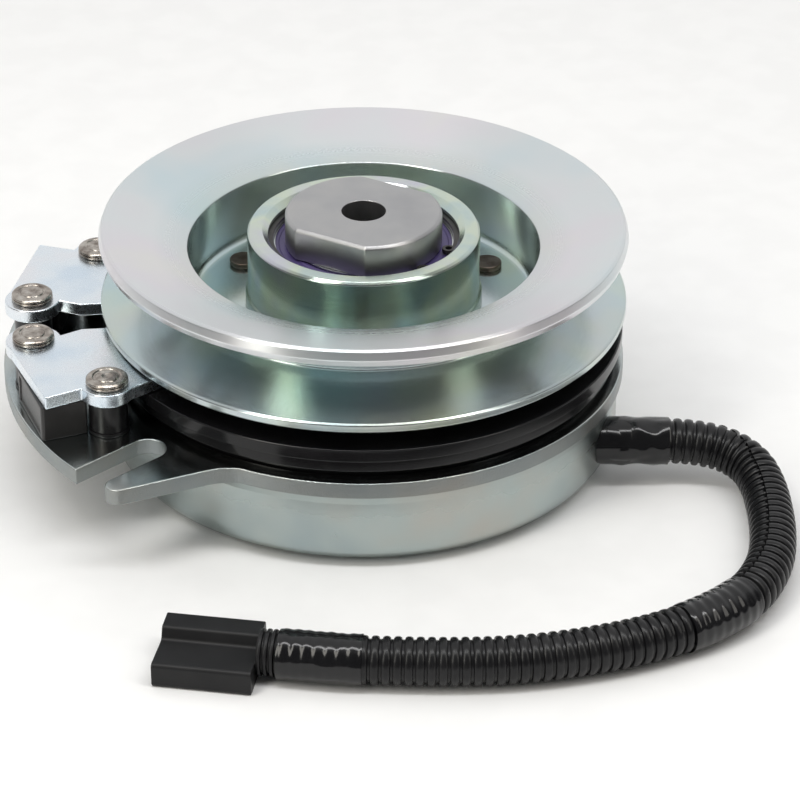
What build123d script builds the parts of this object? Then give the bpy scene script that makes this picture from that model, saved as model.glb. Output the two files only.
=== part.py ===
from build123d import *
from math import asin, cos, degrees, hypot, pi, radians, sin, tan
import os

# Electromagnetic clutch for a mower deck: a fixed field coil in a steel cup with a
# torque arm and a brake, a rotor and hub keyed to the engine crankshaft, and a belt
# pulley with a sprung armature.  Millimetres, +Z up along the shaft.  The origin is
# on the shaft axis, at the crankshaft end of the bore.

os.makedirs("parts", exist_ok=True)

# ---------------------------------------------------------------- clearances
run_gap = 0.3               # between bodies that turn past each other
ball_gap = 0.1              # round each bearing ball
cage_half_t = 0.9           # half the thickness of a ball cage
cage_side = 0.9             # cage beyond its balls, along the axis
seal_gap = 0.2              # seal lip to inner race
hole_slip = 0.1             # rivet shank in its hole, on the radius
air_gap = 0.5               # magnetic gap between rotor rings and field poles

# ---------------------------------------------------------------- shaft and hub
crank_r = 12.7              # 1 inch crankshaft
key_w = 6.35                # 1/4 inch key
key_h = 3.0                 # keyway depth beyond the bore
bolt_r = 6.35               # clearance for the crankshaft bolt
crank_depth = 62.0
stem_wall = 4.8             # hub stem round the bore
boss_over = 2.3             # boss beyond the inner race
flat_depth = 3.1            # wrench flats, cut into the boss
boss_flat_deg = 55.0
boss_h = 9.8
boss_edge = 0.9
sleeve_wall_t = 2.5         # rotor sleeve on the stem
sleeve_foot = 2.0
sleeve_shoulder = 2.2
sleeve_ring_wide = 2.6      # foot ring beyond the sleeve
sleeve_ring_seat = 0.9
sleeve_ring_low = 3.0

# ---------------------------------------------------------------- field cup and torque arm
cup_r = 74.5
cup_wall = 3.0
cup_floor = 4.0
cup_corner = 8.0
cup_top = 29.3
flange_over = 1.5           # flange edge beyond the cup wall
plate_t = 5.0               # flange and torque arm thickness
arm_reach = 28.8            # arm edge beyond the turning discs
arm_start_deg = 144.3
arm_end_deg = 223.9
slot_w = 10.4
slot_deg = 218.0
slot_reach = 7.1            # slot end centre beyond the turning discs
finger_root_deg = 233.6
finger_root_reach = 2.6
finger_blend_deg = 12.0     # from the arm roots to where they join the flange
finger_tip_round = 3.2
finger_root_round = 16.0

# ---------------------------------------------------------------- field bearing
field_ring_h = 14.0         # bore to outside, on the radius
field_race_t = 3.6
field_bearing_w = 15.0
ball_bite = 0.45            # depth of a ball in each race
field_ball_count = 14
field_lip = 3.0             # cup floor under the outer race

# ---------------------------------------------------------------- coil
pole_t = 4.5
pole_drop = 3.3             # pole below the plate's upper face
bobbin_t = 1.5
bobbin_gap = 1.0            # bobbin to the pole inside it
wire_gap = 1.0              # winding inside the flanges' edge
coil_drop = 9.3             # bobbin below the plate's upper face
potting_t = 2.0

# ---------------------------------------------------------------- rotor and armature
rotor_rise = 5.9            # rotor face above the flange
rotor_plate_t = 3.6
rotor_under = 0.8           # rotor disc inside the flange edge
rotor_ring_t = 4.7
rotor_ring_drop = 7.3       # rings below the flange level
slot_ring_w = 4.0
slot_count = 4
slot_span_deg = 70.0
armature_slot_deg = 30.0
engage_gap = 0.55           # armature to rotor, at rest
engage_travel = 0.45
armature_t = 3.9
armature_under = 0.5        # armature disc inside the flange edge
armature_inside = 11.6      # armature inside the spring circle

# ---------------------------------------------------------------- brake
brake_gap = 0.3             # brake plates above the resting armature
brake_t = 4.0
brake_over = 11.5           # plates over the armature edge
plate_over_gap = 0.95       # pulley rim above the plates
rivet_shank_r = 3.0
rivet_head_r = 6.0
rivet_head_h = 2.3
rivet_foot_step = 0.8
rivet_foot_h = 1.6
spacer_r = 5.5
washer_r = 5.85
washer_t = 1.0
block_depth = 13.5
outer_rivet = (20.5, 187.2)     # beyond the discs, and angle
inner_rivet = (9.0, 207.1)
outer_ear_r = 8.0
inner_ear_r = 7.5
plate_arc_deg = (186.6, 199.0, 211.0)
plate_corners = [            # beyond the discs, and angle, round the outer edge
    (6.2, 185.0),
    (12.1, 186.5),
    (27.8, 188.4),
    (27.6, 206.0),
    (16.9, 206.4),
    (5.3, 211.4),
]
block_ends = ((27.0, 191.9), (28.4, 205.3))
block_edge = 0.6
plate_room = 4.0            # brake plates outside the thick web

# ---------------------------------------------------------------- pulley
pulley_r = 76.2
lower_rim_t = 3.4
groove_w = 18.2
groove_deg = 17.0
groove_wall = 6.3           # metal between the recess and the groove
upper_rim_t = 4.5
rim_land = 1.7
recess_wide = 9.1           # recess beyond the spring circle
dish_drop = 7.0
web_rise = 0.6              # recess floor above the rim's lower face
web_t = 4.0
web_step = 5.3              # thick web beyond the recess
web_slope = 2.0
recess_round = 2.5

# ---------------------------------------------------------------- pulley bearing and housing
bearing_ring_h = 10.0       # bore to outside, on the radius
outer_race_t = 2.6
inner_race_t = 2.8
bearing_w = 20.0
ball_count = 18
row_margin = 10.4           # bearing width beyond the spacing of its rows
seal_t = 0.9
seal_seat = 0.6             # seal seat depth in the outer race
seal_inset = 0.3
housing_wall = 6.1
collar_over = 0.7
collar_h = 3.8
housing_over = 4.4          # housing rim above the bearing
housing_lead = 1.8
housing_lip = 2.4
housing_edge = 0.8
spigot_step = 0.6
ring_w = 1.6
ring_slack = 0.2
ring_deep = 1.1
ring_reach = 1.5
ring_eye_in = 0.7
ring_eye_r = 1.9
ring_eye_deg = -24.5
ring_open_deg = 26.0
ring_eye_turn = 3.0

# ---------------------------------------------------------------- armature springs
spring_circle_out = 7.3     # spring circle beyond the housing collar
spring_start_deg = 23.0
spring_step_deg = 50.0
spring_count = 3
spring_w = 11.0
spring_t = 0.6
spring_lift = 0.45
small_shank_r = 2.6
small_head_r = 4.2
small_head_h = 1.6
head_room = 1.0             # armature hole round the pulley rivets
upset_step = 0.2
upset_h = 0.9
flat_head_h = 0.6

# ---------------------------------------------------------------- lead
conduit_r = 6.6
sleeve_wall = 0.4
exit_sleeve_len = 11.0
middle_sleeve_at = 107.0
middle_sleeve_len = 22.0
end_sleeve_len = 22.5
bush_neck_r = 5.0
bush_reach = 5.2            # bush inside the cup's outer face
rest_z = conduit_r + sleeve_wall
bend_share = 0.45           # of the shorter run, taken by each end of an arc
route = [
    (74.2, -33.3, 13.0),
    (83.6, -34.1, 12.9),
    (93.0, -34.9, 12.2),
    (102.0, -37.0, 10.6),
    (108.3, -43.2, 8.6),
    (110.0, -53.0, 7.3),
    (109.5, -64.5, rest_z),
    (107.9, -78.2, rest_z),
    (104.1, -93.1, rest_z),
    (95.6, -107.5, rest_z),
    (82.4, -117.7, rest_z),
    (66.5, -124.9, rest_z),
    (48.5, -129.4, rest_z),
    (29.5, -131.6, rest_z),
    (11.0, -130.8, rest_z),
    (-3.5, -128.9, rest_z),
    (-14.2, -127.2, rest_z),
    (-24.2, -125.05, rest_z),
    (-34.45, -122.3, rest_z),
]

# ---------------------------------------------------------------- plug
plug_len = 27.0
plug_w = 22.0
plug_neck_len = 5.5
plug_neck_r = 5.4
plug_collar_r = 6.4
plug_collar_w = 1.0
plug_collar_at = (0.7, 2.4, 4.1)
plug_round = 1.2
valley_step = 1.5
rear_lobe_w = 7.4
rear_lobe_h = 9.8
valley_h = 6.4
front_lobe_h = 7.3
cavity_w = 7.0
cavity_h = 3.4
cavity_depth = 16.0
cavity_spots = ((-5.8, 3.4), (5.5, 3.2))
blade_w = 6.3
blade_t = 0.8
blade_len = 12.0

# ---------------------------------------------------------------- radii worked out from the above
stem_r = crank_r + stem_wall
race_r = stem_r + bearing_ring_h
race_bore_r = race_r - outer_race_t
race_hub_r = stem_r + inner_race_t
ball_r = (race_bore_r - race_hub_r) / 2 + ball_bite
pitch_r = (race_bore_r + race_hub_r) / 2
boss_r = race_hub_r + boss_over
boss_flat = boss_r - flat_depth
sleeve_r = stem_r + sleeve_wall_t
field_race_r = sleeve_r + field_ring_h
field_hub_r = sleeve_r + field_race_t
field_pitch_r = (sleeve_r + field_race_r) / 2
field_ball_r = field_ring_h / 2 - field_race_t + ball_bite
housing_r = race_r + housing_wall
collar_r = housing_r + collar_over
spigot_r = housing_r - spigot_step
spring_circle_r = collar_r + spring_circle_out
dish_r = spring_circle_r + recess_wide
web_step_r = dish_r + web_step
groove_floor_r = dish_r + groove_wall
armature_bore_r = spring_circle_r - armature_inside
bush_len = hypot(route[0][0], route[0][1]) - cup_r + bush_reach
row_spacing = bearing_w - row_margin

# ---------------------------------------------------------------- levels worked out from the above
pole_top = cup_top - pole_drop
coil_top = cup_top - coil_drop
flange_r = cup_r + flange_over
cup_bore_r = cup_r - cup_wall
plate_low = cup_top - plate_t
rotor_top = cup_top + rotor_rise
rotor_low = rotor_top - rotor_plate_t
armature_low = rotor_top + engage_gap
armature_top = armature_low + armature_t
brake_low = armature_top + brake_gap
brake_top = brake_low + brake_t
rim_low = brake_top + plate_over_gap
groove_low = rim_low + lower_rim_t
groove_top = groove_low + groove_w
pulley_top = groove_top + upper_rim_t
web_top = rim_low + web_rise
web_low = web_top - web_t
spring_low = armature_top + spring_lift
spring_top = spring_low + spring_t
bearing_low = web_low + housing_lip + spigot_step
bearing_top = bearing_low + bearing_w
housing_top = bearing_top + housing_over
boss_top = bearing_top + boss_h

# ---------------------------------------------------------------- rotor, armature and field radii
armature_r = flange_r - armature_under
rotor_r = flange_r - flange_over - rotor_under
disc_r = max(pulley_r, armature_r)
rotor_outer_ring_r = cup_bore_r - air_gap
rotor_outer_ring_bore = rotor_outer_ring_r - rotor_ring_t
pole_r = field_race_r + pole_t
rotor_inner_ring_bore = pole_r + air_gap
rotor_inner_ring_r = rotor_inner_ring_bore + rotor_ring_t
rotor_ring_low = cup_top - rotor_ring_drop
rotor_slot_r = (rotor_outer_ring_bore + rotor_inner_ring_r) / 2
rotor_slot_gap = (rotor_outer_ring_bore - rotor_inner_ring_r) / 3
armature_slot_r = rotor_slot_r + rotor_slot_gap - slot_ring_w / 2
plate_inner_r = max(armature_r - brake_over, web_step_r + web_slope + plate_room)


def polar(radius, angle):
    """A point in plan, from the shaft axis."""
    return (radius * cos(radians(angle)), radius * sin(radians(angle)))


def beyond(reach, angle):
    """A point in plan, a given reach beyond the turning discs."""
    return polar(disc_r + reach, angle)


def mirrored(radius, angle, side):
    """A point in plan on the -Y half, or with side -1 its mirror on the +Y half."""
    return polar(radius, 180 + side * (angle - 180))


def ring(inner_r, outer_r, low, high):
    """A plain ring about the shaft axis, between two levels."""
    with BuildPart() as plain:
        with BuildSketch(Plane.XY.offset(low)):
            Circle(outer_r)
            Circle(inner_r, mode=Mode.SUBTRACT)
        extrude(amount=high - low)
    return plain


# ================================================================ field
def make_field_cup():
    """Drawn steel cup with a hole in its wall for the lead."""
    with BuildPart() as field_cup:
        with BuildSketch(Plane.XZ):
            with BuildLine():
                Polyline(
                    (field_race_r - field_lip, 0),
                    (cup_r - cup_corner, 0),
                    (cup_r, cup_corner),
                    (cup_r, plate_low),
                    (cup_bore_r, plate_low),
                    (cup_bore_r, cup_corner),
                    (cup_bore_r - cup_corner + cup_floor, cup_floor),
                    (field_race_r - field_lip, cup_floor),
                    close=True,
                )
            make_face()
        revolve(axis=Axis.Z)
        corner_edges = field_cup.edges().filter_by(GeomType.CIRCLE)
        fillet(corner_edges.sort_by_distance((cup_r, 0, cup_corner))[0], cup_corner / 3)
        foot_edges = field_cup.edges().filter_by(GeomType.CIRCLE).group_by(Axis.Z)[0]
        fillet(foot_edges.sort_by(SortBy.RADIUS)[-1], cup_corner / 3)
        with BuildSketch(lead_plane()):
            Circle(bush_neck_r)
        extrude(amount=-bush_len, mode=Mode.SUBTRACT)
    field_cup.part.label = "field_cup"
    export_step(field_cup.part, "parts/field_cup.step")


def make_torque_plate():
    """Steel plate welded on the cup: the rim flange, the torque arm and its open slot."""
    with BuildPart() as torque_plate:
        with BuildSketch(Plane.XY.offset(plate_low)) as outline:
            with BuildLine():
                tip = CenterArc((0, 0), disc_r + arm_reach, arm_start_deg, arm_end_deg - arm_start_deg)
                root = beyond(finger_root_reach, finger_root_deg)
                inside = polar(cup_bore_r, finger_root_deg + finger_blend_deg)
                rear_tangent = polar(flange_r, 360 - finger_root_deg - finger_blend_deg)
                Polyline(tip @ 1, root, inside, (0, 0), rear_tangent, tip @ 0)
            make_face()
            Circle(flange_r)
            with Locations(Location((*beyond(slot_reach, slot_deg), 0), slot_deg)):
                Circle(slot_w / 2, mode=Mode.SUBTRACT)
                Rectangle(3 * slot_w, slot_w, align=(Align.MIN, Align.CENTER), mode=Mode.SUBTRACT)
            Circle(cup_bore_r, mode=Mode.SUBTRACT)
            slot_half = degrees(asin(slot_w / 2 / (disc_r + arm_reach)))
            slot_corner = outline.vertices().sort_by_distance(beyond(arm_reach, slot_deg + slot_half))[0]
            fillet(slot_corner, finger_tip_round)
            tip_corner = outline.vertices().sort_by_distance(beyond(arm_reach, arm_end_deg))[0]
            fillet(tip_corner, finger_tip_round)
            root_corner = outline.vertices().sort_by_distance(root)[0]
            fillet(root_corner, finger_root_round)
        extrude(amount=plate_t)
        with BuildSketch(Plane.XY.offset(plate_low)):
            for side in (1, -1):
                for reach, angle in (outer_rivet, inner_rivet):
                    with Locations(beyond(reach, 180 + side * (angle - 180))):
                        Circle(rivet_shank_r + hole_slip)
        extrude(amount=plate_t, mode=Mode.SUBTRACT)
    torque_plate.part.label = "torque_plate"
    export_step(torque_plate.part, "parts/torque_plate.step")


def lead_plane():
    """Plane across the start of the lead, normal along its first run."""
    return Plane(origin=route[0], z_dir=Vector(*route[1]) - Vector(*route[0]))


def make_inner_pole():
    """Steel pole ring on the cup floor, which holds the field bearing."""
    inner_pole = ring(field_race_r, pole_r, cup_floor, pole_top)
    inner_pole.part.label = "inner_pole"
    export_step(inner_pole.part, "parts/inner_pole.step")


def make_coil():
    """Bobbin, its copper winding and the potting that closes it."""
    bobbin_r = pole_r + bobbin_gap
    bobbin_outer = cup_bore_r - cup_corner / 2
    with BuildPart() as coil_bobbin:
        with BuildSketch(Plane.XZ):
            with BuildLine():
                Polyline(
                    (bobbin_r, cup_floor),
                    (bobbin_outer, cup_floor),
                    (bobbin_outer, cup_floor + bobbin_t),
                    (bobbin_r + bobbin_t, cup_floor + bobbin_t),
                    (bobbin_r + bobbin_t, coil_top - bobbin_t),
                    (bobbin_outer, coil_top - bobbin_t),
                    (bobbin_outer, coil_top),
                    (bobbin_r, coil_top),
                    close=True,
                )
            make_face()
        revolve(axis=Axis.Z)
    coil_bobbin.part.label = "coil_bobbin"
    export_step(coil_bobbin.part, "parts/coil_bobbin.step")

    wire_r = bobbin_outer - wire_gap
    coil_winding = ring(bobbin_r + bobbin_t, wire_r, cup_floor + bobbin_t, coil_top - bobbin_t)
    coil_winding.part.label = "coil_winding"
    export_step(coil_winding.part, "parts/coil_winding.step")

    low_ring_gap = rotor_ring_low - air_gap - coil_top
    potting_ring = ring(bobbin_r, bobbin_outer, coil_top, coil_top + min(potting_t, low_ring_gap))
    potting_ring.part.label = "potting_ring"
    export_step(potting_ring.part, "parts/potting_ring.step")


def make_field_bearing():
    """Single-row ball bearing between the cup and the rotor sleeve."""
    low = cup_floor
    high = low + field_bearing_w
    middle = (low + high) / 2
    with BuildPart() as field_bearing_outer:
        add(ring(field_race_r - field_race_t, field_race_r, low, high).part)
        with Locations((0, 0, middle)):
            Torus(field_pitch_r, field_ball_r + ball_gap, mode=Mode.SUBTRACT)
    field_bearing_outer.part.label = "field_bearing_outer"
    export_step(field_bearing_outer.part, "parts/field_bearing_outer.step")

    with BuildPart() as field_bearing_inner:
        add(ring(sleeve_r, field_hub_r, low, high).part)
        with Locations((0, 0, middle)):
            Torus(field_pitch_r, field_ball_r + ball_gap, mode=Mode.SUBTRACT)
    field_bearing_inner.part.label = "field_bearing_inner"
    export_step(field_bearing_inner.part, "parts/field_bearing_inner.step")

    with BuildPart() as field_bearing_balls:
        with Locations((0, 0, middle)):
            with PolarLocations(field_pitch_r, field_ball_count):
                Sphere(field_ball_r)
    field_bearing_balls.part.label = "field_bearing_balls"
    export_step(field_bearing_balls.part, "parts/field_bearing_balls.step")

    cage_half = field_ball_r + cage_side
    with BuildPart() as field_bearing_cage:
        shell = (field_pitch_r - cage_half_t, field_pitch_r + cage_half_t)
        add(ring(*shell, middle - cage_half, middle + cage_half).part)
        with Locations((0, 0, middle)):
            with PolarLocations(field_pitch_r, field_ball_count):
                Cylinder(field_ball_r + ball_gap, 6 * cage_half_t, rotation=(0, 90, 0), mode=Mode.SUBTRACT)
    field_bearing_cage.part.label = "field_bearing_cage"
    export_step(field_bearing_cage.part, "parts/field_bearing_cage.step")


# ================================================================ rotor and hub
def make_rotor():
    """Soft-iron rotor: slotted face, two pole rings and the sleeve on the hub."""
    with BuildPart() as rotor:
        with BuildSketch(Plane.XZ):
            with BuildLine():
                Polyline(
                    (stem_r, sleeve_foot),
                    (sleeve_r, sleeve_foot),
                    (sleeve_r, cup_floor + field_bearing_w),
                    (sleeve_r + sleeve_shoulder, cup_floor + field_bearing_w),
                    (sleeve_r + sleeve_shoulder, rotor_low),
                    (rotor_inner_ring_bore, rotor_low),
                    (rotor_inner_ring_bore, rotor_ring_low),
                    (rotor_inner_ring_r, rotor_ring_low),
                    (rotor_inner_ring_r, rotor_low),
                    (rotor_outer_ring_bore, rotor_low),
                    (rotor_outer_ring_bore, rotor_ring_low),
                    (rotor_outer_ring_r, rotor_ring_low),
                    (rotor_outer_ring_r, rotor_low),
                    (rotor_r, rotor_low),
                    (rotor_r, rotor_top),
                    (stem_r, rotor_top),
                    close=True,
                )
            make_face()
        revolve(axis=Axis.Z)
        with BuildSketch(Plane.XY.offset(rotor_low)):
            with PolarLocations(0, slot_count):
                for offset_r in (-rotor_slot_gap, rotor_slot_gap):
                    curve = CenterArc(
                        (0, 0), rotor_slot_r + offset_r, 0, slot_span_deg, mode=Mode.PRIVATE
                    )
                    SlotArc(curve, slot_ring_w)
        extrude(amount=rotor_plate_t, mode=Mode.SUBTRACT)
        with BuildSketch(Plane.XY.offset(sleeve_ring_low)):
            Circle(sleeve_r)
            Circle(sleeve_r - sleeve_ring_seat, mode=Mode.SUBTRACT)
        extrude(amount=cup_floor - sleeve_ring_low, mode=Mode.SUBTRACT)
    rotor.part.label = "rotor"
    export_step(rotor.part, "parts/rotor.step")

    ring_bore = sleeve_r - sleeve_ring_seat
    sleeve_ring = ring(ring_bore, sleeve_r + sleeve_ring_wide, sleeve_ring_low, cup_floor)
    sleeve_ring.part.label = "sleeve_ring"
    export_step(sleeve_ring.part, "parts/sleeve_ring.step")


def make_drive_hub():
    """Steel hub: flatted boss, stem through both bearings, keyed crankshaft bore."""
    with BuildPart() as drive_hub:
        with BuildSketch(Plane.XY):
            Circle(stem_r)
        extrude(amount=bearing_top)
        with BuildSketch(Plane.XY.offset(bearing_top)):
            Circle(boss_r)
            Rectangle(2 * boss_flat, 3 * boss_r, rotation=boss_flat_deg, mode=Mode.INTERSECT)
        extrude(amount=boss_h)
        chamfer(drive_hub.faces().sort_by(Axis.Z)[-1].edges(), boss_edge)
        with BuildSketch(Plane.XY):
            Circle(crank_r)
            with Locations((0, crank_r)):
                Rectangle(key_w, 2 * key_h)
        extrude(amount=crank_depth, mode=Mode.SUBTRACT)
        with BuildSketch(Plane.XY.offset(crank_depth)):
            Circle(bolt_r)
        extrude(amount=boss_top - crank_depth, mode=Mode.SUBTRACT)
    drive_hub.part.label = "drive_hub"
    export_step(drive_hub.part, "parts/drive_hub.step")

    hub_spacer = ring(stem_r, race_hub_r, rotor_top, bearing_low)
    hub_spacer.part.label = "hub_spacer"
    export_step(hub_spacer.part, "parts/hub_spacer.step")


# ================================================================ pulley
def make_pulley():
    """Turned V pulley with a dished face, a deep recess and a thin web."""
    taper = (pulley_r - groove_floor_r) * tan(radians(groove_deg))
    with BuildPart() as pulley:
        with BuildSketch(Plane.XZ) as section:
            with BuildLine():
                Polyline(
                    (spigot_r, web_low),
                    (web_step_r, web_low),
                    (web_step_r + web_slope, rim_low),
                    (pulley_r, rim_low),
                    (pulley_r, groove_low),
                    (groove_floor_r, groove_low + taper),
                    (groove_floor_r, groove_top - taper),
                    (pulley_r, groove_top),
                    (pulley_r, pulley_top),
                    (pulley_r - rim_land, pulley_top),
                    (dish_r, pulley_top - dish_drop),
                    (dish_r, web_top),
                    (spigot_r, web_top),
                    close=True,
                )
            make_face()
            recess_corner = section.vertices().sort_by_distance((dish_r, 0, web_top))[0]
            fillet(recess_corner, recess_round)
            rim_corners = section.vertices().group_by(Axis.X)[-1]
            fillet(rim_corners, min(lower_rim_t, upper_rim_t) / 4)
        revolve(axis=Axis.Z)
        with BuildSketch(Plane.XY.offset(web_low)):
            with PolarLocations(spring_circle_r, spring_count, spring_start_deg):
                Circle(small_shank_r + hole_slip)
        extrude(amount=web_t, mode=Mode.SUBTRACT)
    pulley.part.label = "pulley"
    export_step(pulley.part, "parts/pulley.step")


def make_bearing_housing():
    """Pressed steel tube in the pulley web that holds the bearing and its ring."""
    groove_r = race_r + ring_deep
    with BuildPart() as bearing_housing:
        with BuildSketch(Plane.XZ):
            with BuildLine():
                Polyline(
                    (race_r - housing_lip, web_low),
                    (spigot_r, web_low),
                    (spigot_r, web_top),
                    (collar_r, web_top),
                    (collar_r, web_top + collar_h),
                    (housing_r, web_top + collar_h + collar_over),
                    (housing_r, housing_top - housing_edge),
                    (housing_r - housing_edge, housing_top),
                    (race_r + housing_lead, housing_top),
                    (race_r, housing_top - housing_lead),
                    (race_r, bearing_top + ring_w),
                    (groove_r, bearing_top + ring_w),
                    (groove_r, bearing_top),
                    (race_r, bearing_top),
                    (race_r, bearing_low),
                    (race_r - housing_lip, bearing_low),
                    close=True,
                )
            make_face()
        revolve(axis=Axis.Z)
    bearing_housing.part.label = "bearing_housing"
    export_step(bearing_housing.part, "parts/bearing_housing.step")


def make_retaining_ring():
    """Open snap ring with two eyes, in the groove above the bearing."""
    eye_circle_r = race_r - ring_reach - ring_eye_in
    eye_degs = (ring_eye_deg + ring_eye_turn, ring_eye_deg - ring_open_deg - ring_eye_turn)
    with BuildPart() as retaining_ring:
        with BuildSketch(Plane.XY.offset(bearing_top)):
            Circle(race_r + ring_deep)
            Circle(race_r - ring_reach, mode=Mode.SUBTRACT)
            with BuildLine():
                left = polar(2 * race_r, ring_eye_deg - ring_open_deg)
                right = polar(2 * race_r, ring_eye_deg)
                Polyline((0, 0), left, right, close=True)
            make_face(mode=Mode.SUBTRACT)
            for side in eye_degs:
                with Locations(polar(eye_circle_r, side)):
                    Circle(ring_eye_r)
            for side in eye_degs:
                with Locations(polar(eye_circle_r, side)):
                    Circle(ring_eye_r / 2, mode=Mode.SUBTRACT)
        extrude(amount=ring_w - ring_slack)
    retaining_ring.part.label = "retaining_ring"
    export_step(retaining_ring.part, "parts/retaining_ring.step")


def make_pulley_bearing():
    """Double-row ball bearing between the pulley housing and the hub stem."""
    middle = (bearing_low + bearing_top) / 2
    rows = (middle - row_spacing / 2, middle + row_spacing / 2)
    seat_r = race_bore_r + seal_seat
    seal_high = bearing_top - seal_inset
    seal_low = bearing_low + seal_inset
    with BuildPart() as bearing_outer_race:
        add(ring(race_bore_r, race_r, bearing_low, bearing_top).part)
        add(ring(race_bore_r, seat_r, seal_high - seal_t, bearing_top).part, mode=Mode.SUBTRACT)
        add(ring(race_bore_r, seat_r, bearing_low, seal_low + seal_t).part, mode=Mode.SUBTRACT)
        with Locations([(0, 0, row) for row in rows]):
            Torus(pitch_r, ball_r + ball_gap, mode=Mode.SUBTRACT)
    bearing_outer_race.part.label = "bearing_outer_race"
    export_step(bearing_outer_race.part, "parts/bearing_outer_race.step")

    with BuildPart() as bearing_inner_race:
        add(ring(stem_r, race_hub_r, bearing_low, bearing_top).part)
        with Locations([(0, 0, row) for row in rows]):
            Torus(pitch_r, ball_r + ball_gap, mode=Mode.SUBTRACT)
    bearing_inner_race.part.label = "bearing_inner_race"
    export_step(bearing_inner_race.part, "parts/bearing_inner_race.step")

    with BuildPart() as bearing_balls:
        with Locations([(0, 0, row) for row in rows]):
            with PolarLocations(pitch_r, ball_count):
                Sphere(ball_r)
    bearing_balls.part.label = "bearing_balls"
    export_step(bearing_balls.part, "parts/bearing_balls.step")

    cage_half = row_spacing / 2 + ball_r + cage_side
    with BuildPart() as bearing_cage:
        shell = (pitch_r - cage_half_t, pitch_r + cage_half_t)
        add(ring(*shell, middle - cage_half, middle + cage_half).part)
        with Locations([(0, 0, row) for row in rows]):
            with PolarLocations(pitch_r, ball_count):
                Cylinder(ball_r + ball_gap, 6 * cage_half_t, rotation=(0, 90, 0), mode=Mode.SUBTRACT)
    bearing_cage.part.label = "bearing_cage"
    export_step(bearing_cage.part, "parts/bearing_cage.step")

    seal_top = ring(race_hub_r + seal_gap, seat_r, seal_high - seal_t, seal_high)
    seal_top.part.label = "seal_top"
    export_step(seal_top.part, "parts/seal_top.step")

    seal_bottom = ring(race_hub_r + seal_gap, seat_r, seal_low, seal_low + seal_t)
    seal_bottom.part.label = "seal_bottom"
    export_step(seal_bottom.part, "parts/seal_bottom.step")


# ================================================================ armature and springs
def make_armature():
    """Armature disc with banana slots and clearance for the pulley rivets."""
    with BuildPart() as armature:
        with BuildSketch(Plane.XY.offset(armature_low)):
            Circle(armature_r)
            Circle(armature_bore_r, mode=Mode.SUBTRACT)
            with PolarLocations(spring_circle_r, spring_count, spring_start_deg):
                Circle(small_head_r + head_room, mode=Mode.SUBTRACT)
            with PolarLocations(spring_circle_r, spring_count, spring_start_deg + spring_step_deg):
                Circle(small_shank_r + hole_slip, mode=Mode.SUBTRACT)
            with PolarLocations(0, slot_count):
                curve = CenterArc(
                    (0, 0), armature_slot_r, armature_slot_deg, slot_span_deg, mode=Mode.PRIVATE
                )
                SlotArc(curve, slot_ring_w, mode=Mode.SUBTRACT)
        extrude(amount=armature_t)
        with BuildSketch(Plane.XY.offset(armature_low)):
            with PolarLocations(spring_circle_r, spring_count, spring_start_deg + spring_step_deg):
                Circle(small_head_r)
        extrude(amount=small_head_h, mode=Mode.SUBTRACT)
    armature.part.label = "armature"
    export_step(armature.part, "parts/armature.step")


def make_leaf_springs():
    """Three flat spring straps from the pulley rivets to the armature rivets."""
    span = 2 * spring_circle_r * sin(radians(spring_step_deg / 2))
    middle_r = spring_circle_r * cos(radians(spring_step_deg / 2))
    with BuildPart() as leaf_springs:
        with BuildSketch(Plane.XY.offset(spring_low)):
            with PolarLocations(middle_r, spring_count, spring_start_deg + spring_step_deg / 2):
                SlotCenterToCenter(span, spring_w, rotation=90)
            with PolarLocations(spring_circle_r, spring_count, spring_start_deg):
                Circle(small_shank_r + hole_slip, mode=Mode.SUBTRACT)
            with PolarLocations(spring_circle_r, spring_count, spring_start_deg + spring_step_deg):
                Circle(small_shank_r + run_gap, mode=Mode.SUBTRACT)
        extrude(amount=spring_t)
    leaf_springs.part.label = "leaf_springs"
    export_step(leaf_springs.part, "parts/leaf_springs.step")


def stack_of_discs(angle, discs):
    """Three riveted stacks: each disc is (radius, low, high), fused on one axis."""
    with BuildPart() as stack:
        for radius, low, high in discs:
            with BuildSketch(Plane.XY.offset(low)):
                with PolarLocations(spring_circle_r, spring_count, angle):
                    Circle(radius)
            extrude(amount=high - low)
    return stack


def make_spring_rivets():
    """Rivets at both ends of the springs, and the pads under the armature end."""
    pulley_rivets = stack_of_discs(
        spring_start_deg,
        (
            (small_shank_r, spring_low, web_top),
            (small_head_r, web_top, web_top + small_head_h),
            (small_head_r, spring_top, web_low),
            (small_head_r - upset_step, spring_low - upset_h, spring_low),
        ),
    )
    pulley_rivets.part.label = "pulley_rivets"
    export_step(pulley_rivets.part, "parts/pulley_rivets.step")

    armature_angle = spring_start_deg + spring_step_deg
    armature_rivets = stack_of_discs(
        armature_angle,
        (
            (small_shank_r, armature_low, spring_top),
            (small_head_r, armature_low, armature_low + small_head_h),
            (small_head_r, spring_top, spring_top + flat_head_h),
        ),
    )
    armature_rivets.part.label = "armature_rivets"
    export_step(armature_rivets.part, "parts/armature_rivets.step")

    with BuildPart() as spring_pads:
        with BuildSketch(Plane.XY.offset(armature_top)):
            with PolarLocations(spring_circle_r, spring_count, armature_angle):
                Circle(small_head_r)
                Circle(small_shank_r, mode=Mode.SUBTRACT)
        extrude(amount=spring_lift)
    spring_pads.part.label = "spring_pads"
    export_step(spring_pads.part, "parts/spring_pads.step")


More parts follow.
